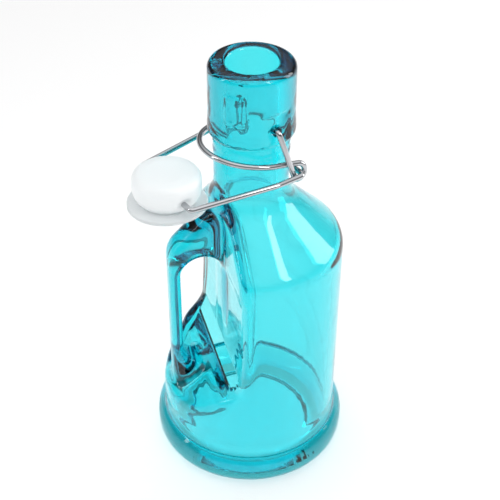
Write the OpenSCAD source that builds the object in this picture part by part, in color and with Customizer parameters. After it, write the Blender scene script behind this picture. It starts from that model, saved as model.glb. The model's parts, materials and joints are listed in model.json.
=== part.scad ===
// Swing top bottle: one glass moulding with a flush handle, and a wire closure of a lever, a bail,
// a plastic stopper and its gasket. Origin at the centre of the base, +Z up, handle towards -X.

/* [Body] */
// Height of the bottle to its rim
height = 150; // [148:1:180]
// Outer radius of the body
body_r = 30.6; // [30:0.2:38]
// Glass thickness of the body wall
wall = 2.8; // [2.2:0.1:3.6]
// Glass thickness of the bottom at its middle
floor_t = 5.2; // [4:0.2:7]

/* [Skirt] */
// How far the flared foot stands out from the body
skirt_flare = 3.2; // [2:0.1:4.5]
// Height of the crease where the foot meets the body
skirt_h = 15.2; // [13:0.2:20]
// Rise of the hollow under the base
punt_h = 1.8; // [1:0.1:3]

/* [Shoulder and neck] */
// Height of the shoulder's edge
shoulder_z = 83.5; // [78:0.5:90]
// Radius of the shoulder's edge
shoulder_round = 7; // [3:0.5:9]
// Slope of the shoulder, from the vertical
shoulder_slope = 46; // [42:1:52]
// Outer radius of the neck
neck_r = 12; // [11.6:0.1:12.6]
// Radius of the curve from shoulder to neck
neck_round = 12; // [6:1:16]

/* [Finish] */
// Outer radius of the thick ring at the mouth
finish_r = 13.5; // [13.2:0.1:14.4]
// Height of that ring
finish_h = 23.6; // [21:0.2:25]
// Radius of the mouth's bore
bore_r = 8.05; // [7:0.05:8.6]
// Radius of the rim's outer edge
rim_round = 2.2; // [1:0.1:3]

/* [Handle] */
// Glass left over the wall's thickness between the recess and the bore
recess_spare = 0.05; // [0:0.05:1]
// Height of the recess's lowest point
recess_low = 26.5; // [24:0.5:32]
// How far the grip's outer face lies inside the body's side
grip_inset = 2.1; // [1:0.1:3.5]
// Width of the grip
grip_w = 11; // [8:0.5:14]
// Thickness of the grip
grip_t = 3.8; // [3:0.1:5.5]
// Height of the finger hole's lower end
hole_low = 37.1; // [34:0.5:42]
// Height of the finger hole's upper end
hole_high = 82.7; // [72:0.5:85]

/* [Closure] */
// Turn of the closure about the neck, from the handle
closure_turn = 18.5; // [0:0.5:30]
// Diameter of the steel wires
wire_d = 1.8; // [1.6:0.1:2]
// Depth of the wire pivots below the rim
pivot_drop = 18; // [17:0.5:20]
// Radial play of a wire in its hole
wire_play = 0.07; // [0.04:0.01:0.1]
// Distance of the lever's coils outside the finish
coil_out = 3.9; // [3.5:0.1:5.5]
// Distance of the coils behind the pivots
coil_back = 5.9; // [4:0.1:7]
// Distance of the coils below the pivots
coil_drop = 14.1; // [13:0.1:16]
// Inner radius of a coil
coil_r = 1.5; // [1.3:0.1:1.8]
// Clearance of the lever's loop around the finish
loop_room = 0.8; // [0.5:0.1:2]
// Drop of the lever loop's tip below the pivots
loop_drop = 8.4; // [7:0.1:10]

/* [Stopper] */
// Distance of the stopper's wire from the axis
cross_x = 30.8; // [30:0.1:34]
// Drop of the stopper's wire below the pivots
cross_drop = 16.4; // [15:0.1:18]
// Radius of the stopper's cap
cap_r = 10.6; // [10:0.1:11.4]
// Height of the cap above its wire
cap_top = 6.6; // [6:0.1:8]
// Depth of the gasket's seat below the wire
seat_drop = 4; // [3.6:0.1:5]
// Radius of the gasket
gasket_r = 12.4; // [12:0.1:13]
// Thickness of the gasket
gasket_t = 1.3; // [1:0.1:1.6]
// Radius of the plug that holds the gasket
plug_r = 5.4; // [5:0.1:6.4]
// Length of the plug below the gasket
plug_h = 1.4; // [1:0.1:2]
// Sideways play of the bail in the stopper
bail_shift = 0.8; // [0:0.1:1.5]

/* [Hidden] */
$fn = 96;
eps = 0.01;
big = 100;
steps = 10;
wire_r = wire_d / 2;
bend_r = wire_r + 0.04;
finish_z = height - finish_h;
pivot_z = height - pivot_drop;
bead_r = finish_r + 0.3;
pad_face = finish_r - 0.95;
pad_w = 9.9;
pad_top = pivot_z + 5.5;
dimple_r = 2.3;
hole_depth = 2.9;
inner_r = body_r - wall;
skirt_r = body_r + skirt_flare;
recess_face = bore_r + wall + recess_spare;
recess_mid = 60;
recess_top = shoulder_z + 25.5;
grip_face = body_r - grip_inset;
grip_top = shoulder_z - 1.5;
coil_y = finish_r + coil_out;
coil_mid = coil_r + wire_r;
coil_z = pivot_z - coil_drop;
leg_y = pad_face + wire_r + 0.7;
loop_r = bead_r + wire_r + loop_room;
loop_tip = loop_r + wire_r;
loop_tilt = atan2(coil_drop - loop_drop - coil_mid, loop_tip + coil_back);
bail_y = coil_y + 2 * wire_r + 0.45;
bend_x = 3.3;
cross_z = pivot_z - cross_drop;
cross_y = gasket_r + wire_r + 0.5 + bail_shift;
gasket_play = 0.05;

// Points of an arc about [x, z]
function arc(x, z, r, from, to, n = steps) =
    [for (i = [0:n]) [x + r * cos(from + (to - from) * i / n), z + r * sin(from + (to - from) * i / n)]];

// The shoulder from a side of radius r at height z to a neck of radius rn: a round, a slope and a hollow
function slope_top(r, z, round_r, slope, rn, hollow) =
    let (r0 = r - round_r * (1 - cos(slope)), z0 = z + round_r * sin(slope),
         r1 = rn + hollow * (1 - cos(slope)), z1 = z0 + (r0 - r1) / tan(slope))
    z1 + hollow * sin(slope);
function shoulder(r, z, round_r, slope, rn, hollow) =
    concat(arc(r - round_r, z, round_r, 0, slope),
           arc(rn + hollow, slope_top(r, z, round_r, slope, rn, hollow), hollow, 180 + slope, 180));

// A wire from point a to point b, with a round bend at a, and at b too unless it runs into another piece
module rod(a, b, round_b = true) {
    d = b - a;
    translate(a) rotate([0, atan2(norm([d.x, d.y]), d.z), atan2(d.y, d.x)])
        cylinder(r = wire_r, h = norm(d), $fn = 32);
    translate(a) sphere(bend_r, $fn = 32);
    if (round_b) translate(b) sphere(bend_r, $fn = 32);
}

module outer_form() {
    foot_r = skirt_r - 5;
    rotate_extrude() polygon(concat(
        [[0, punt_h], [foot_r - 8.5, punt_h], [foot_r - 6.5, 0], [foot_r, 0]],
        arc(foot_r, 5, 5, -90, 0),
        [[skirt_r, 5 + eps]],
        arc(skirt_r - 6.4, 7, 6.4, 0, 52),
        [[body_r, skirt_h]],
        shoulder(body_r, shoulder_z, shoulder_round, shoulder_slope, neck_r, neck_round),
        [[neck_r, finish_z]],
        arc(bead_r - 1.6, finish_z + 1.6, 1.6, -90, 0),
        [[finish_r, finish_z + 7]],
        arc(finish_r - rim_round, height - rim_round, rim_round, 0, 90),
        [[0, height]]
    ));
}

module inner_form() {
    rotate_extrude() polygon(concat(
        [[0, floor_t], [inner_r - 7, floor_t - 0.6]],
        arc(inner_r - 4, floor_t + 5, 5.6, -90, 10),
        [[inner_r, skirt_h + 2]],
        shoulder(inner_r, shoulder_z, shoulder_round - wall, shoulder_slope, bore_r, neck_round + wall),
        [[bore_r, height - 1]],
        arc(bore_r + 1 + eps, height - 1, 1, 180, 90),
        [[bore_r + 1, height + 1], [0, height + 1]]
    ));
}

// Side view of the space cut away on both sides of the grip, moved inwards by o
module recess_side(o = 0) {
    far = skirt_r + 0.2;
    top_r = 13;
    polygon(concat(
        [for (i = [0:steps]) [-far + (far - recess_face + o) * cos(90 * i / steps),
                              recess_mid - (recess_mid - recess_low + o) * sin(90 * i / steps)]],
        [[-big, recess_low - o], [-big, recess_top + o], [-recess_face - top_r, recess_top + o]],
        arc(-recess_face - top_r, recess_top - top_r, top_r + o, 90, 0)
    ));
}

module across(w) {
    rotate([90, 0, 0]) linear_extrude(w, center = true) children();
}

module grip() {
    intersection() {
        outer_form();
        across(grip_w) polygon(concat(
            [[-5, recess_low - 2], [-grip_face, recess_low - 2]],
            [for (p = shoulder(grip_face, grip_top, 10, shoulder_slope, 12, 1)) [-p.x, p.y]],
            [[-5, 104]]
        ));
    }
}

module finger_hole() {
    hole_w = grip_face - grip_t - recess_face;
    hole_x = -recess_face - hole_w / 2;
    across(big) {
        translate([hole_x, hole_low + hole_w / 2]) circle(d = hole_w);
        translate([hole_x, hole_high - hole_w / 2]) circle(d = hole_w);
        translate([hole_x - hole_w / 2, hole_low + hole_w / 2]) square([hole_w, hole_high - hole_low - hole_w]);
    }
}

// The closure's own frame: +X is the side that the stopper swings to, Y is the pivot axis
module closure() {
    rotate([0, 0, 180 + closure_turn]) children();
}

module pivot_seat() {
    for (side = [0, 1]) mirror([0, side, 0]) {
        translate([-pad_w / 2, pad_face, finish_z - 1]) cube([pad_w, 5, pad_top - finish_z + 1]);
        translate([0, pad_face + 1.1, pivot_z]) sphere(dimple_r);
        translate([0, pad_face - hole_depth, pivot_z]) rotate([-90, 0, 0]) cylinder(r = wire_r + wire_play, h = 5);
    }
}

module bottle() {
    color([0.02, 0.75, 0.85, 0.6]) difference() {
        union() {
            difference() {
                outer_form();
                across(big) recess_side();
            }
            grip();
        }
        finger_hole();
        difference() {
            inner_form();
            across(big) recess_side(wall);
        }
        closure() pivot_seat();
    }
}

// One wire: a pivot and a leg on each side, a coil at the foot of each leg, and a loop round the neck
module lever_wire() {
    reach = norm([coil_back, coil_drop]);
    near = 1 - coil_mid / reach;
    coil_top = coil_z + coil_mid;
    loop_z = coil_top + coil_back * tan(loop_tilt);
    color([0.78, 0.79, 0.8]) closure() {
        for (side = [0, 1]) mirror([0, side, 0]) {
            rod([0, pad_face - hole_depth + wire_r + 0.3, pivot_z], [0, leg_y, pivot_z]);
            rod([0, leg_y, pivot_z], [-coil_back * near, coil_y, pivot_z - coil_drop * near], false);
            translate([-coil_back, coil_y, coil_z]) rotate([90, 0, 0])
                rotate_extrude($fn = 48) translate([coil_mid, 0]) circle(wire_r, $fn = 24);
            rod([0, loop_r, loop_z], [coil_mid - coil_back, coil_y, coil_z], false);
        }
        translate([0, 0, loop_z]) rotate([0, -loop_tilt, 0])
            rotate([0, 0, -90]) rotate_extrude(angle = 180) translate([loop_r, 0]) circle(wire_r, $fn = 24);
    }
}

// One wire: a hook through each coil, two arms, and a cross run through the stopper
module bail_wire() {
    color([0.78, 0.79, 0.8]) closure() {
        for (side = [-1, 1]) {
            end_y = side * cross_y - bail_shift;
            rod([-coil_back, side * (coil_y - 1.9), coil_z], [-coil_back, side * bail_y, coil_z]);
            rod([-coil_back, side * bail_y, coil_z], [bend_x, side * (bail_y - 0.4), bend_z()]);
            rod([bend_x, side * (bail_y - 0.4), bend_z()], [cross_x, end_y, cross_z]);
        }
        rod([cross_x, -cross_y - bail_shift, cross_z], [cross_x, cross_y - bail_shift, cross_z]);
    }
}
function bend_z() = coil_z + (cross_z - coil_z) * (bend_x + coil_back) / (cross_x + coil_back);

module at_stopper() {
    closure() translate([cross_x, 0, cross_z]) children();
}

module stopper() {
    edge = 2.4;
    seat_r = plug_r - 0.6;
    under = seat_drop + gasket_t;
    color([0.95, 0.96, 0.96]) at_stopper() difference() {
        rotate_extrude() polygon(concat(
            [[0, -under - plug_h], [plug_r - 0.8, -under - plug_h], [plug_r, -under - plug_h + 0.6]],
            [[plug_r, -under - 0.1], [seat_r, -under - 0.1], [seat_r, -seat_drop], [cap_r - 2.6, -seat_drop]],
            [[cap_r - 1.5, -seat_drop + 1], [cap_r - 0.2, -1], [cap_r, 0.5]],
            arc(cap_r - edge, cap_top - edge - 0.4, edge, 0, 80),
            [[0, cap_top]]
        ));
        rotate([90, 0, 0]) cylinder(r = wire_r + wire_play, h = big, center = true);
    }
}

module gasket() {
    color([0.9, 0.94, 0.95, 0.8]) at_stopper() translate([0, 0, -seat_drop - gasket_t]) difference() {
        cylinder(r = gasket_r, h = gasket_t);
        translate([0, 0, -1]) cylinder(r = plug_r - 0.6 + gasket_play, h = gasket_t + 2);
    }
}

bottle();
lever_wire();
bail_wire();
stopper();
gasket();
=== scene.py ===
"""Swing top bottle: tinted glass with a flush handle, two chrome wires, a milky stopper and its gasket."""

import json
import math

import bpy
import numpy as np
from mathutils import Matrix, Vector


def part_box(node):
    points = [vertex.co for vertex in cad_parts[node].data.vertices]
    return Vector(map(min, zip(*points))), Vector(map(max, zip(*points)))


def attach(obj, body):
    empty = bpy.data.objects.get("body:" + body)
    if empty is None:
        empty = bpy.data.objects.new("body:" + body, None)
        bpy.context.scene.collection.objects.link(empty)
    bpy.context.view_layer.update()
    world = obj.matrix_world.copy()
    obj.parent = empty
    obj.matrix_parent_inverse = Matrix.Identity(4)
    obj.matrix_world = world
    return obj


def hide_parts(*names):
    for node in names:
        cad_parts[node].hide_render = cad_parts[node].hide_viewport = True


MM = 0.001

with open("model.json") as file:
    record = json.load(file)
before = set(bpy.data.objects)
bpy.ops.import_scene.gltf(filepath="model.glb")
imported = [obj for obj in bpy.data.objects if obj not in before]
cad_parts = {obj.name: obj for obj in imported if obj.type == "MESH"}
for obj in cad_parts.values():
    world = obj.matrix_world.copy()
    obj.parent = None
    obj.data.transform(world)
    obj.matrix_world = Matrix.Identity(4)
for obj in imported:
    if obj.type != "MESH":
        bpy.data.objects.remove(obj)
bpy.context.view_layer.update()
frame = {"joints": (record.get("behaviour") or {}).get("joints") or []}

# Driving sizes in millimetres, the same as the construction's.
bottle_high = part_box("bottle")[1] / MM
HEIGHT = bottle_high.z
SKIRT_R = bottle_high.x
BODY_R, WALL, FLOOR = 30.6, 2.8, 5.2
SKIRT_H, PUNT = 15.2, 1.8
SHOULDER_Z, SHOULDER_ROUND, SLOPE = 83.5, 7.0, 46.0
NECK_R, NECK_ROUND = 12.0, 12.0
FINISH_R, FINISH_H, BORE_R, RIM_ROUND = 13.5, 23.6, 8.05, 2.2
RECESS_FACE, RECESS_FAR, RECESS_ROUND = 10.9, 34.0, 13.0
RECESS_LOW, RECESS_MID, RECESS_TOP = 26.5, 60.0, 109
GRIP_FACE, GRIP_W, GRIP_T, GRIP_TOP = 28.5, 11.0, 3.8, 82
HOLE_LOW, HOLE_HIGH = 37.1, 82.7
WIRE_R = 0.9
PIVOT_Z = HEIGHT - 18.0
PAD_FACE, PAD_HALF, PAD_RISE, DIMPLE_R, DIMPLE_OUT = 12.55, 4.95, 5.5, 2.3, 1.1
PIVOT_HOLE_R, PIVOT_HOLE_DEPTH = WIRE_R + 0.15, 2.9
COIL_R, COIL_Y = 2.4, 17.4
LOOP_R, LOOP_TIP, LOOP_DROP = 15.5, 16.4, 8.4
SEAT_DROP, GASKET_T, GASKET_R, CAP_R, CAP_TOP = 4.0, 1.3, 12.4, 10.6, 6.6
PLUG_R, PLUG_H = 5.4, 1.4
CARTOUCHE, CARTOUCHE_Z, CARTOUCHE_TURN = (2.2, 3.8), 139.6, -22.0
CARTOUCHE_RISE, CARTOUCHE_EDGE = 0.45, 0.22
NECK_RINGS, RING_RISE, RING_WIDTH = (123.6, 120.6), 0.2, 0.8

# How far the moulded surfaces round into each other, in millimetres.
RECESS_EDGE, CAVITY_EDGE, HOLE_EDGE = 2.4, 5, 3
GRIP_EDGE, GRIP_SIDE, GRIP_FOOT = 2, 5, 4
PAD_EDGE, DIMPLE_EDGE = 0.7, 0.5

# Size of the glass mesh's cells in a full build; the size for a quick build is not used.
CELL, QUICK_CELL = 0.85, 1.3

# The view: degrees round from the front, degrees up, degrees of roll, metres to the aim, and the aim's height.
VIEW_TURN, VIEW_TILT, VIEW_ROLL, VIEW_REACH, AIM_Z = -16.0, 37.62, 0.444, 0.3667, 0.0792
LENS, SENSOR, SHIFT_X = 78.984, 36, -0.001272
LAMP_AIM_Z = 0.08

# The closure's own frame comes from its joints: +X is the side that the stopper swings to, Y is the pivot axis.
joints = {j["name"]: j for j in frame["joints"]}
pivot_axis = Vector(joints["lever_swing"]["axis"])
side_axis = Vector((-pivot_axis.y, pivot_axis.x, 0.0))
coil_at = Vector(joints["bail_swing"]["pos_m"]) / MM
cross_at = Vector(joints["stopper_tilt"]["pos_m"]) / MM
if side_axis.dot(cross_at) < 0:
    side_axis.negate()
CLOSURE = Matrix((side_axis, Vector((0, 0, 1)).cross(side_axis), (0, 0, 1))).transposed()
coil_x, coil_z = (CLOSURE.transposed() @ coil_at).x, coil_at.z
cross_x, cross_z = (CLOSURE.transposed() @ cross_at).x, cross_at.z


# ---------------------------------------------------------------- outlines
def arc(x, z, r, start, end, n=14):
    """Points of an arc about (x, z), in degrees."""
    turn = np.radians(np.linspace(start, end, n + 1))
    return [(x + r * math.cos(a), z + r * math.sin(a)) for a in turn]


def shoulder(r, z, round_r, neck_r, hollow):
    """A rounded edge, a slope and a hollow, from a side of radius r at height z to the neck."""
    a = math.radians(SLOPE)
    r0, z0 = r - round_r * (1 - math.cos(a)), z + round_r * math.sin(a)
    r1 = neck_r + hollow * (1 - math.cos(a))
    top = z0 + (r0 - r1) / math.tan(a) + hollow * math.sin(a)
    return arc(r - round_r, z, round_r, 0, SLOPE) + arc(neck_r + hollow, top, hollow, 180 + SLOPE, 180)


def outer_outline():
    """Half section of the outside: foot, body, shoulder, neck and finish."""
    foot = SKIRT_R - 5
    finish_z = HEIGHT - FINISH_H
    bead = FINISH_R + 0.3
    return (
        [(0, PUNT), (foot - 8.5, PUNT), (foot - 6.5, 0), (foot, 0)]
        + arc(foot, 5, 5, -90, 0)
        + arc(SKIRT_R - 6.4, 7, 6.4, 0, 52)
        + [(BODY_R, SKIRT_H)]
        + shoulder(BODY_R, SHOULDER_Z, SHOULDER_ROUND, NECK_R, NECK_ROUND)
        + [(NECK_R, finish_z)]
        + arc(bead - 1.6, finish_z + 1.6, 1.6, -90, 0)
        + [(FINISH_R, finish_z + 7)]
        + arc(FINISH_R - RIM_ROUND, HEIGHT - RIM_ROUND, RIM_ROUND, 0, 90)
        + [(0, HEIGHT)]
    )


def inner_outline():
    """Half section of the cavity, open past the rim."""
    r = BODY_R - WALL
    return (
        [(0, FLOOR), (r - 7, FLOOR - 0.6)]
        + arc(r - 4, FLOOR + 5, 5.6, -90, 10)
        + [(r, SKIRT_H + 2)]
        + shoulder(r, SHOULDER_Z, SHOULDER_ROUND - WALL, BORE_R, NECK_ROUND + WALL)
        + [(BORE_R, HEIGHT - 1.2)]
        + arc(BORE_R + 1.2, HEIGHT - 1.2, 1.2, 180, 90)
        + [(BORE_R + 1.2, HEIGHT + 4), (0, HEIGHT + 4)]
    )


def recess_outline():
    """Side view of the space beside the grip: a scooped floor, a flat face and a rounded top."""
    outside = -100
    top_x, top_z = -RECESS_FACE - RECESS_ROUND, RECESS_TOP - RECESS_ROUND
    floor = [
        (
            -RECESS_FAR + (RECESS_FAR - RECESS_FACE) * math.cos(a),
            RECESS_MID - (RECESS_MID - RECESS_LOW) * math.sin(a),
        )
        for a in np.radians(np.linspace(0, 90, 15))
    ]
    return (
        floor
        + [(outside, RECESS_LOW), (outside, RECESS_TOP), (top_x, RECESS_TOP)]
        + arc(top_x, top_z, RECESS_ROUND, 90, 0)
    )


def grip_outline():
    """Side view of the grip, before it is cut to the body's outside."""
    outside = [(-x, z) for x, z in shoulder(GRIP_FACE, GRIP_TOP, 10, 12, 1)]
    return [(-5, RECESS_LOW - 6), (-GRIP_FACE, RECESS_LOW - 6)] + outside + [(-5, 104)]


# ---------------------------------------------------------------- distance fields
class Outline:
    """Signed distance to a closed outline, tabled on a fine grid and read back between its points."""

    STEP = 0.3

    def __init__(self, points, low, high):
        self.low = np.array(low, float)
        count = np.ceil((np.array(high) - self.low) / self.STEP).astype(int) + 1
        x = self.low[0] + self.STEP * np.arange(count[0])[:, None]
        z = self.low[1] + self.STEP * np.arange(count[1])[None, :]
        best = np.full((count[0], count[1]), 1e9)
        inside = np.zeros((count[0], count[1]), bool)
        for (ax, az), (bx, bz) in zip(points, points[1:] + points[:1]):
            ex, ez = bx - ax, bz - az
            length = ex * ex + ez * ez
            if length < 1e-12:
                continue
            t = np.clip(((x - ax) * ex + (z - az) * ez) / length, 0, 1)
            best = np.minimum(best, (x - ax - t * ex) ** 2 + (z - az - t * ez) ** 2)
            if az != bz:
                crossing = ((az > z) != (bz > z)) & (x < ax + (z - az) * ex / ez)
                inside ^= crossing
        self.table = np.where(inside, -1, 1) * np.sqrt(best)

    def __call__(self, x, z):
        i = np.clip((x - self.low[0]) / self.STEP, 0, self.table.shape[0] - 1.001)
        j = np.clip((z - self.low[1]) / self.STEP, 0, self.table.shape[1] - 1.001)
        i0, j0 = i.astype(int), j.astype(int)
        u, v = i - i0, j - j0
        t = self.table
        low = t[i0, j0] * (1 - u) + t[i0 + 1, j0] * u
        high = t[i0, j0 + 1] * (1 - u) + t[i0 + 1, j0 + 1] * u
        return low * (1 - v) + high * v


def both(a, b, k=0.0):
    """The space that is in both, with its edges rounded over k."""
    if k == 0:
        return np.maximum(a, b)
    h = np.maximum(k - np.abs(a - b), 0) / k
    return np.maximum(a, b) + h * h * k / 4


def either(a, b, k):
    """The space that is in one or the other, with the inner corners filled over k."""
    return -both(-a, -b, k)


def revolved(points):
    """The outline's distance field about the Z axis."""
    mirrored = points + [(-x, z) for x, z in reversed(points)]
    return Outline(mirrored, (-1, -3), (40, HEIGHT + 6))


OUTER = revolved(outer_outline())
INNER = revolved(inner_outline())
RECESS = Outline(recess_outline(), (-40, -3), (40, HEIGHT + 6))
GRIP = Outline(grip_outline(), (-40, -3), (40, HEIGHT + 6))


def relief(x, y, z):
    """Height of the moulded detail: a blank cartouche on the finish and two faint rings under the bead."""
    turn = np.arctan2(y, x) - math.radians(VIEW_TURN - 90 + CARTOUCHE_TURN)
    across = np.abs(FINISH_R * np.arctan2(np.sin(turn), np.cos(turn))) - CARTOUCHE[0]
    along = np.abs(z - CARTOUCHE_Z) - CARTOUCHE[1]
    past_corner = np.hypot(np.maximum(across, 0), np.maximum(along, 0))
    edge = past_corner + np.minimum(np.maximum(across, along), 0) - 1.0
    plaque = CARTOUCHE_RISE / (1 + np.exp(np.clip(edge / CARTOUCHE_EDGE, -30, 30)))
    rings = sum(RING_RISE * np.exp(-(((z - at) / RING_WIDTH) ** 2)) for at in NECK_RINGS)
    return plaque + rings


def glass_field(p):
    """Signed distance to the glass, negative inside it, for points in millimetres."""
    x, y, z = p[..., 0], p[..., 1], p[..., 2]
    r = np.hypot(x, y)
    outer = OUTER(r, z) - relief(x, y, z)
    recess = RECESS(x, z)
    body = both(outer, -recess, RECESS_EDGE)
    grip = both(both(GRIP(x, z), outer, GRIP_EDGE), np.abs(y) - GRIP_W / 2, GRIP_SIDE)
    solid = either(body, grip, GRIP_FOOT)
    hole_r = (GRIP_FACE - GRIP_T - RECESS_FACE) / 2
    hole_x = -RECESS_FACE - hole_r
    along = np.clip(z, HOLE_LOW + hole_r, HOLE_HIGH - hole_r)
    hole = np.hypot(x - hole_x, z - along) - hole_r
    solid = both(solid, -hole, HOLE_EDGE)
    cavity = both(INNER(r, z), WALL - recess, CAVITY_EDGE)
    solid = both(solid, -cavity)
    u = x * side_axis.x + y * side_axis.y
    v = np.abs(x * -side_axis.y + y * side_axis.x)
    pad = both(both(np.abs(u) - PAD_HALF, PAD_FACE - v), z - PIVOT_Z - PAD_RISE)
    pad = both(pad, HEIGHT - FINISH_H - 1 - z)
    solid = both(solid, -pad, PAD_EDGE)
    dimple = np.sqrt(u * u + (v - PAD_FACE - DIMPLE_OUT) ** 2 + (z - PIVOT_Z) ** 2) - DIMPLE_R
    solid = both(solid, -dimple, DIMPLE_EDGE)
    wire_hole = both(np.hypot(u, z - PIVOT_Z) - PIVOT_HOLE_R, PAD_FACE - PIVOT_HOLE_DEPTH - v)
    return both(solid, -wire_hole)


def gradient(field, p, step=0.05):
    """The field's slope at each point, by central differences."""
    out = np.empty_like(p)
    for i in range(3):
        d = np.zeros(3)
        d[i] = step
        out[:, i] = (field(p + d) - field(p - d)) / (2 * step)
    return out


def surface_net(field, low, high, cell):
    """A quad mesh of the field's zero surface: one point in each cell that it crosses, pulled on to it."""
    low = np.array(low, float)
    count = np.ceil((np.array(high) - low) / cell).astype(int) + 1
    axes = [low[i] + cell * np.arange(count[i]) for i in range(3)]
    value = np.empty(count)
    for k in range(count[2]):
        grid = np.stack(np.meshgrid(axes[0], axes[1], axes[2][k : k + 1], indexing="ij"), -1)
        value[:, :, k : k + 1] = field(grid)
    inside = value < 0
    cells = tuple(n - 1 for n in count)
    total = np.zeros(cells + (3,))
    crossings = np.zeros(cells)
    corner = [(i, j, k) for i in (0, 1) for j in (0, 1) for k in (0, 1)]
    for a in corner:
        for axis in range(3):
            if a[axis]:
                continue
            b = tuple(a[i] + (i == axis) for i in range(3))
            va = value[tuple(slice(a[i], a[i] + cells[i]) for i in range(3))]
            vb = value[tuple(slice(b[i], b[i] + cells[i]) for i in range(3))]
            cross = (va < 0) != (vb < 0)
            t = np.where(cross, va / np.where(cross, va - vb, 1), 0)
            for i in range(3):
                total[..., i] += np.where(cross, a[i] + (t if i == axis else 0), 0)
            crossings += cross
    used = crossings > 0
    index = np.full(cells, -1)
    index[used] = np.arange(used.sum())
    base = np.stack(np.nonzero(used), -1)
    points = low + cell * (base + total[used] / crossings[used][:, None])
    quads = []
    for axis in range(3):
        u, v = [i for i in range(3) if i != axis]
        a = np.take(inside, np.arange(count[axis] - 1), axis)
        b = np.take(inside, np.arange(1, count[axis]), axis)
        flip = a != b
        at = np.stack(np.nonzero(flip), -1)
        at = at[(at[:, u] > 0) & (at[:, v] > 0) & (at[:, u] < cells[u]) & (at[:, v] < cells[v])]
        outward = a[tuple(at.T)]
        ring = []
        for du, dv in ((1, 1), (0, 1), (0, 0), (1, 0)):
            c = at.copy()
            c[:, u] -= du
            c[:, v] -= dv
            ring.append(index[tuple(c.T)])
        ring = np.stack(ring, -1)
        if axis == 1:
            outward = ~outward
        ring[~outward] = ring[~outward][:, ::-1]
        quads.append(ring)
    for _ in range(3):
        slope = gradient(field, points)
        size = np.maximum((slope * slope).sum(1), 0.25)
        move = np.clip(field(points) / size, -cell / 2, cell / 2)
        points = points - slope * move[:, None]
    return points, np.concatenate(quads)


def quad_piece(name, points, faces, material):
    """A smooth mesh object from points in millimetres and quads, quick for a large mesh."""
    mesh = bpy.data.meshes.new(name)
    faces = np.asarray(faces)
    mesh.vertices.add(len(points))
    mesh.vertices.foreach_set("co", (np.asarray(points, float) * MM).ravel())
    mesh.loops.add(faces.size)
    mesh.loops.foreach_set("vertex_index", faces.ravel().astype(np.int32))
    mesh.polygons.add(len(faces))
    mesh.polygons.foreach_set("loop_start", np.arange(0, faces.size, faces.shape[1], dtype=np.int32))
    mesh.update(calc_edges=True)
    mesh.validate()
    mesh.polygons.foreach_set("use_smooth", np.ones(len(mesh.polygons), bool))
    mesh.materials.append(material)
    thing = bpy.data.objects.new(name, mesh)
    bpy.context.scene.collection.objects.link(thing)
    return thing


# ---------------------------------------------------------------- sweeps and turned pieces
def rounded(corners, radii, n=8):
    """A path through corners, each turned over its radius."""
    path = [Vector(corners[0])]
    for before, at, after, r in zip(corners, corners[1:], corners[2:], radii):
        at = Vector(at)
        a, b = (Vector(before) - at).normalized(), (Vector(after) - at).normalized()
        half = a.angle(b) / 2
        cut = r / math.tan(half)
        centre = at + (a + b).normalized() * (r / math.sin(half))
        start, end = at + a * cut - centre, at + b * cut - centre
        turn = start.angle(end)
        for i in range(n + 1):
            t = i / n
            path.append(centre + (start * math.sin((1 - t) * turn) + end * math.sin(t * turn)) / math.sin(turn))
    path.append(Vector(corners[-1]))
    return path


def tube(name, path, r, material, sides=20):
    """A round wire along a path, with rounded ends."""
    path = [Vector(p) for p in path]
    ahead = (path[1] - path[0]).normalized()
    across = ahead.orthogonal().normalized()
    rings = []
    for i, p in enumerate(path):
        nearby = path[min(i + 1, len(path) - 1)] - path[max(i - 1, 0)]
        across = ahead.rotation_difference(nearby.normalized()) @ across
        ahead = nearby.normalized()
        rings.append((p, across.copy(), ahead.cross(across), r))
    first, last = rings[0], rings[-1]
    along = (path[1] - path[0]).normalized(), (path[-1] - path[-2]).normalized()
    cap = r * 0.35
    outer, inner = (1, 0.62), (0.6, 0.88)
    start = [(first[0] - along[0] * (cap * s), first[1], first[2], r * c) for s, c in (outer, inner)]
    end = [(last[0] + along[1] * (cap * s), last[1], last[2], r * c) for s, c in (inner, outer)]
    rings = start + rings + end
    turn = [2 * math.pi * k / sides for k in range(sides)]
    points = [p + (u * math.cos(t) + v * math.sin(t)) * size for p, u, v, size in rings for t in turn]
    faces = [
        (i * sides + k, i * sides + (k + 1) % sides, (i + 1) * sides + (k + 1) % sides, (i + 1) * sides + k)
        for i in range(len(rings) - 1)
        for k in range(sides)
    ]
    tips = len(points)
    points += [rings[0][0], rings[-1][0]]
    last_ring = (len(rings) - 1) * sides
    faces += [(tips, (k + 1) % sides, k) for k in range(sides)]
    faces += [(tips + 1, last_ring + k, last_ring + (k + 1) % sides) for k in range(sides)]
    return mesh_from(name, points, faces, material)


def mesh_from(name, points, faces, material):
    """A smooth mesh object from faces of three or four corners, in millimetres."""
    mesh = bpy.data.meshes.new(name)
    mesh.from_pydata([Vector(p) * MM for p in points], [], faces)
    mesh.polygons.foreach_set("use_smooth", [True] * len(mesh.polygons))
    mesh.materials.append(material)
    mesh.update()
    thing = bpy.data.objects.new(name, mesh)
    bpy.context.scene.collection.objects.link(thing)
    return thing


def finer(outline, step):
    """The outline with more points, no further apart than about step."""
    dense = [outline[0]]
    for a, b in zip(outline, outline[1:]):
        steps = max(1, round(math.dist(a, b) / step))
        dense += [
            (a[0] + (b[0] - a[0]) * i / steps, a[1] + (b[1] - a[1]) * i / steps) for i in range(1, steps + 1)
        ]
    return dense


def turned(outline, shape, sides=128):
    """Points and faces of an outline of (radius, height) turned about Z; shape moves each point."""
    points, faces = [], []
    for r, z in outline:
        for k in range(sides):
            a = 2 * math.pi * k / sides
            p = Vector((r * math.cos(a), r * math.sin(a), z))
            points.append(shape(p))
    for i in range(len(outline) - 1):
        for k in range(sides):
            n = (k + 1) % sides
            faces.append((i * sides + k, i * sides + n, (i + 1) * sides + n, (i + 1) * sides + k))
    return points, faces


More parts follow.
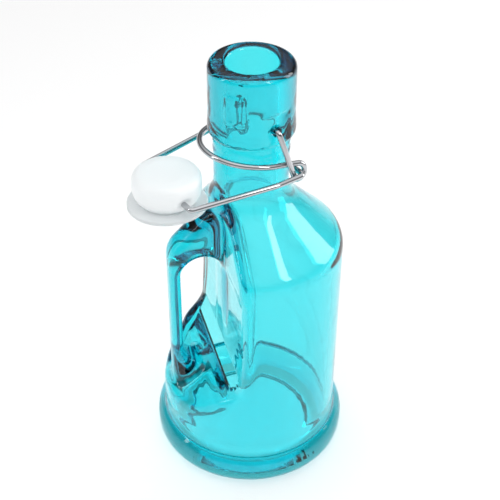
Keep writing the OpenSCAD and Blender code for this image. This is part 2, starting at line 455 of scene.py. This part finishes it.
# ---------------------------------------------------------------- materials
def new_material(name):
    material = bpy.data.materials.new(name)
    material.use_nodes = True
    tree = material.node_tree
    shader = tree.nodes["Principled BSDF"]
    return material, tree, shader


def put(shader, **values):
    for key, value in values.items():
        shader.inputs[key.replace("_", " ")].default_value = value


def bump_from(tree, shader, scale, strength, distance, detail=3.0):
    """Fine relief from noise, in the object's own coordinates."""
    place = tree.nodes.new("ShaderNodeTexCoord")
    noise = tree.nodes.new("ShaderNodeTexNoise")
    noise.inputs["Scale"].default_value = scale
    noise.inputs["Detail"].default_value = detail
    bump = tree.nodes.new("ShaderNodeBump")
    bump.inputs["Strength"].default_value = strength
    bump.inputs["Distance"].default_value = distance
    tree.links.new(place.outputs["Object"], noise.inputs["Vector"])
    tree.links.new(noise.outputs["Fac"], bump.inputs["Height"])
    tree.links.new(bump.outputs["Normal"], shader.inputs["Normal"])
    return noise


def glass_material():
    material, tree, shader = new_material("tinted_glass")
    put(shader, Base_Color=(0.95, 0.99, 1.0, 1), Roughness=0.0, IOR=1.5, Transmission_Weight=1.0)
    bump_from(tree, shader, 55, 0.35, 0.0004, 1.0)
    tint = tree.nodes.new("ShaderNodeVolumeAbsorption")
    tint.inputs["Color"].default_value = (0.0, 0.912, 0.938, 1)
    tint.inputs["Density"].default_value = 420
    tree.links.new(tint.outputs["Volume"], tree.nodes["Material Output"].inputs["Volume"])
    return material


def wire_material():
    material, tree, shader = new_material("bright_wire")
    put(shader, Base_Color=(0.5, 0.51, 0.53, 1), Metallic=1.0, Roughness=0.12)
    noise = bump_from(tree, shader, 900, 0.12, 0.00005)
    ramp = tree.nodes.new("ShaderNodeMapRange")
    ramp.inputs["To Min"].default_value = 0.04
    ramp.inputs["To Max"].default_value = 0.13
    tree.links.new(noise.outputs["Fac"], ramp.inputs["Value"])
    tree.links.new(ramp.outputs["Result"], shader.inputs["Roughness"])
    return material


def plastic_material():
    material, tree, shader = new_material("milky_plastic")
    put(shader, Base_Color=(0.84, 0.87, 0.88, 1), Roughness=0.32, IOR=1.5, Subsurface_Weight=0.35)
    shader.inputs["Subsurface Radius"].default_value = (0.004, 0.004, 0.004)
    shader.inputs["Subsurface Scale"].default_value = 1.0
    bump_from(tree, shader, 700, 0.1, 0.00008)
    return material


def gasket_material():
    material, tree, shader = new_material("clear_rubber")
    put(shader, Base_Color=(0.93, 0.96, 0.97, 1), Roughness=0.3, IOR=1.42, Transmission_Weight=0.45)
    bump_from(tree, shader, 400, 0.15, 0.0001)
    return material


GLASS = glass_material()
WIRE = wire_material()
PLASTIC = plastic_material()
RUBBER = gasket_material()


# ---------------------------------------------------------------- the pieces
def make_bottle():
    cell = CELL
    reach = SKIRT_R + 2.2
    points, faces = surface_net(glass_field, (-reach, -reach, -2), (reach, reach, HEIGHT + 2), cell)
    points[:, 2] = np.clip(points[:, 2], 0, HEIGHT)
    bottle = quad_piece("glass_bottle", points, faces, GLASS)
    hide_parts("bottle")
    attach(bottle, "glass")
    bottle.visible_shadow = False


def placed(path):
    return [CLOSURE @ Vector(p) for p in path]


def lever_half():
    """The lever's path from one pivot's tip to the loop's start, for the side at +Y."""
    leg_y = PAD_FACE + WIRE_R + 0.7
    back, drop = -coil_x, PIVOT_Z - coil_z
    reach = math.hypot(back, drop)
    start = math.atan2(-drop, -back) + math.asin(COIL_R / reach) + math.pi / 2
    run = math.sqrt(reach * reach - COIL_R * COIL_R)
    down = start - math.pi / 2
    outer_y, inner_y = COIL_Y + 0.45, COIL_Y - 1.4
    touch = (run * math.cos(down), outer_y, PIVOT_Z + run * math.sin(down))
    path = rounded([(0, PAD_FACE - 1.7, PIVOT_Z), (0, leg_y, PIVOT_Z), touch], [1.3])
    end = math.pi / 2 - 2 * math.pi
    n = 28
    for i in range(1, n + 1):
        t = i / n
        a = start + (end - start) * t
        y = outer_y + (inner_y - outer_y) * t
        path.append(Vector((coil_x + COIL_R * math.cos(a), y, coil_z + COIL_R * math.sin(a))))
    return path


def make_lever():
    half = lever_half()
    begin = half[-1]
    rise = (PIVOT_Z - LOOP_DROP - begin.z) / (LOOP_TIP - begin.x)
    loop = [begin + (Vector((0, LOOP_R, begin.z - coil_x * rise)) - begin) * t for t in (0.25, 0.5, 0.75)]
    for i in range(41):
        a = math.pi / 2 - math.pi * i / 40
        x, y = LOOP_TIP * math.cos(a), LOOP_R * math.sin(a)
        loop.append(Vector((x, y, begin.z + (x - coil_x) * rise)))
    flipped = [Vector((p.x, -p.y, p.z)) for p in half + loop[:3]]
    path = half + loop + flipped[::-1]
    wire = tube("lever_loop", placed(path), WIRE_R, WIRE)
    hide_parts("lever_wire")
    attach(wire, "lever")


def make_bail():
    bail_y, bend_x = COIL_Y + 2 * WIRE_R + 0.45, 3.3
    bend_z = coil_z + (cross_z - coil_z) * (bend_x - coil_x) / (cross_x - coil_x)
    shift = 0.8
    cross_y = GASKET_R + WIRE_R + 0.5 + shift
    corners = [
        (coil_x, COIL_Y - 2.4, coil_z),
        (coil_x, bail_y, coil_z),
        (bend_x, bail_y - 0.4, bend_z),
        (cross_x, cross_y - shift, cross_z),
        (cross_x, -cross_y - shift, cross_z),
        (bend_x, -bail_y + 0.4, bend_z),
        (coil_x, -bail_y, coil_z),
        (coil_x, -COIL_Y + 2.4, coil_z),
    ]
    wire = tube("bail_arms", placed(rounded(corners, [1.2, 8, 1.2, 1.2, 8, 1.2])), WIRE_R, WIRE)
    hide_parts("bail_wire")
    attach(wire, "bail")


def make_stopper():
    under = SEAT_DROP + GASKET_T
    seat = PLUG_R - 0.6
    edge = 2.6
    outline = (
        [(0, -under - PLUG_H), (PLUG_R - 1.2, -under - PLUG_H), (PLUG_R - 0.5, -under - PLUG_H + 0.15)]
        + [(PLUG_R, -under - PLUG_H + 0.6), (PLUG_R, -under - 0.3)]
        + [(PLUG_R - 0.15, -under - 0.1), (seat, -under - 0.05)]
        + [(seat, -SEAT_DROP), (CAP_R - 3.2, -SEAT_DROP), (CAP_R - 2.7, -SEAT_DROP + 0.15)]
        + [(CAP_R - 1.9, -SEAT_DROP + 0.9), (CAP_R - 0.9, -2), (CAP_R - 0.3, -0.8)]
        + [(CAP_R - 0.05, 0.4), (CAP_R, 1.6)]
        + arc(CAP_R - edge, CAP_TOP - edge - 0.35, edge, 0, 84, 12)
        + [(CAP_R * 0.6, CAP_TOP - 0.1), (CAP_R * 0.3, CAP_TOP - 0.02), (0, CAP_TOP)]
    )

    def dented(p):
        """The side is pressed in to a shallow oval where the wire comes out."""
        if p.z < -SEAT_DROP or p.z > CAP_TOP - 1 or math.hypot(p.x, p.y) < CAP_R - 4:
            return p
        near = (p.x / 2.3) ** 2 + (p.z / 1.7) ** 2
        depth = 0.9 * math.exp(-near * near)
        return Vector((p.x, p.y - math.copysign(depth, p.y) * (abs(p.y) > 2), p.z))

    points, faces = turned(finer(outline, 0.45), dented)
    points = [CLOSURE @ (p + Vector((cross_x, 0, cross_z))) for p in points]
    cap = mesh_from("stopper_cap", points, faces, PLASTIC)
    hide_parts("stopper")
    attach(cap, "stopper")


def make_gasket():
    low = -SEAT_DROP - GASKET_T
    inner = PLUG_R - 0.55
    outline = (
        [(inner, low + 0.1), (inner + 0.2, low), (GASKET_R * 0.7, low)]
        + [(GASKET_R - 0.3, low + 0.05), (GASKET_R, low + 0.3)]
        + [(GASKET_R, low + GASKET_T - 0.35), (GASKET_R - 0.25, low + GASKET_T - 0.08)]
        + [(GASKET_R * 0.7, low + GASKET_T), (inner + 0.2, low + GASKET_T)]
        + [(inner, low + GASKET_T - 0.1), (inner, low + 0.1)]
    )

    def warped(p):
        r = math.hypot(p.x, p.y)
        bend = 0.28 * max(0, r - PLUG_R) ** 2 / (GASKET_R - PLUG_R) ** 2
        return Vector((p.x, p.y, p.z - bend * math.cos(2 * math.atan2(p.y, p.x) + 0.6)))

    points, faces = turned(finer(outline, 0.6), warped)
    points = [CLOSURE @ (p + Vector((cross_x, 0, cross_z))) for p in points]
    disc = mesh_from("gasket_disc", points, faces, RUBBER)
    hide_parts("gasket")
    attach(disc, "stopper")


# ---------------------------------------------------------------- stage, lights and camera
def make_stage():
    material, _, shader = new_material("pale_floor")
    put(shader, Base_Color=(0.97, 0.97, 0.97, 1), Roughness=0.7)
    s = 1.6
    mesh = bpy.data.meshes.new("floor")
    mesh.from_pydata([(-s, -s, 0), (s, -s, 0), (s, s, 0), (-s, s, 0)], [], [(0, 1, 2, 3)])
    mesh.materials.append(material)
    floor = bpy.data.objects.new("floor", mesh)
    bpy.context.scene.collection.objects.link(floor)


def from_view(turn, tilt, reach):
    """A place at that many degrees round from the camera's side, at that height angle and distance."""
    a, e = math.radians(VIEW_TURN + turn), math.radians(tilt)
    out = Vector((math.sin(a) * math.cos(e), -math.cos(a) * math.cos(e), math.sin(e)))
    return out * reach + Vector((0, 0, AIM_Z))


def aim(thing, target):
    thing.rotation_euler = (target - thing.location).to_track_quat("-Z", "Y").to_euler()


def panel(name, turn, tilt, reach, width, height, power):
    """A rectangular lamp, placed round the object as the camera sees it and aimed at its middle."""
    light = bpy.data.lights.new(name, "AREA")
    light.shape = "RECTANGLE"
    light.size, light.size_y = width, height
    light.energy = power
    lamp = bpy.data.objects.new(name, light)
    bpy.context.scene.collection.objects.link(lamp)
    lamp.location = from_view(turn, tilt, reach)
    aim(lamp, Vector((0, 0, LAMP_AIM_Z)))


def make_world():
    """A white room for the camera; what is reflected or refracted meets a bright top and greyer sides."""
    world = bpy.data.worlds.new("studio")
    bpy.context.scene.world = world
    world.use_nodes = True
    tree = world.node_tree
    place = tree.nodes.new("ShaderNodeTexCoord")
    split = tree.nodes.new("ShaderNodeSeparateXYZ")
    ramp = tree.nodes.new("ShaderNodeValToRGB")
    tree.links.new(place.outputs["Generated"], split.inputs["Vector"])
    tree.links.new(split.outputs["Z"], ramp.inputs["Fac"])
    stops = ramp.color_ramp.elements
    stops[0].position, stops[0].color = 0.0, (0.42, 0.44, 0.45, 1)
    stops[1].position, stops[1].color = 0.8, (1.0, 1.0, 1.0, 1)
    for at, grey in ((0.12, 0.16), (0.3, 0.1), (0.5, 0.5)):
        stop = stops.new(at)
        stop.color = (grey, grey * 1.01, grey * 1.02, 1)
    path = tree.nodes.new("ShaderNodeLightPath")
    mix = tree.nodes.new("ShaderNodeMix")
    mix.data_type = "RGBA"
    plain = tree.nodes.new("ShaderNodeMath")
    plain.operation = "MAXIMUM"
    tree.links.new(path.outputs["Is Camera Ray"], plain.inputs[0])
    tree.links.new(path.outputs["Is Diffuse Ray"], plain.inputs[1])
    tree.links.new(plain.outputs["Value"], mix.inputs["Factor"])
    tree.links.new(ramp.outputs["Color"], mix.inputs["A"])
    mix.inputs["B"].default_value = (0.84, 0.84, 0.84, 1)
    tree.links.new(mix.outputs["Result"], tree.nodes["Background"].inputs["Color"])


def make_lights():
    make_world()
    panel("top_panel", 10, 80, 0.9, 0.7, 0.7, 0.55)
    panel("key_panel", 48, 43, 0.75, 0.1, 0.36, 0.8)
    panel("right_panel", 105, 21, 0.6, 0.24, 0.32, 1.2)
    panel("left_strip", -75, 28, 0.6, 0.05, 0.5, 0.4)


def make_camera():
    data = bpy.data.cameras.new("camera")
    data.sensor_width = SENSOR
    data.lens = LENS
    data.shift_x = SHIFT_X
    camera = bpy.data.objects.new("camera", data)
    bpy.context.scene.collection.objects.link(camera)
    camera.location = from_view(0, VIEW_TILT, VIEW_REACH)
    aim(camera, Vector((0, 0, AIM_Z)))
    camera.rotation_euler.rotate_axis("Z", math.radians(VIEW_ROLL))
    bpy.context.scene.camera = camera


def set_view():
    scene = bpy.context.scene
    scene.view_settings.view_transform = "Standard"
    scene.cycles.max_bounces = 24
    scene.cycles.transmission_bounces = 20
    scene.cycles.glossy_bounces = 8
    scene.cycles.diffuse_bounces = 4
    scene.cycles.transparent_max_bounces = 12


make_camera()
make_bottle()
make_lever()
make_bail()
make_stopper()
make_gasket()
make_stage()
make_lights()
set_view()
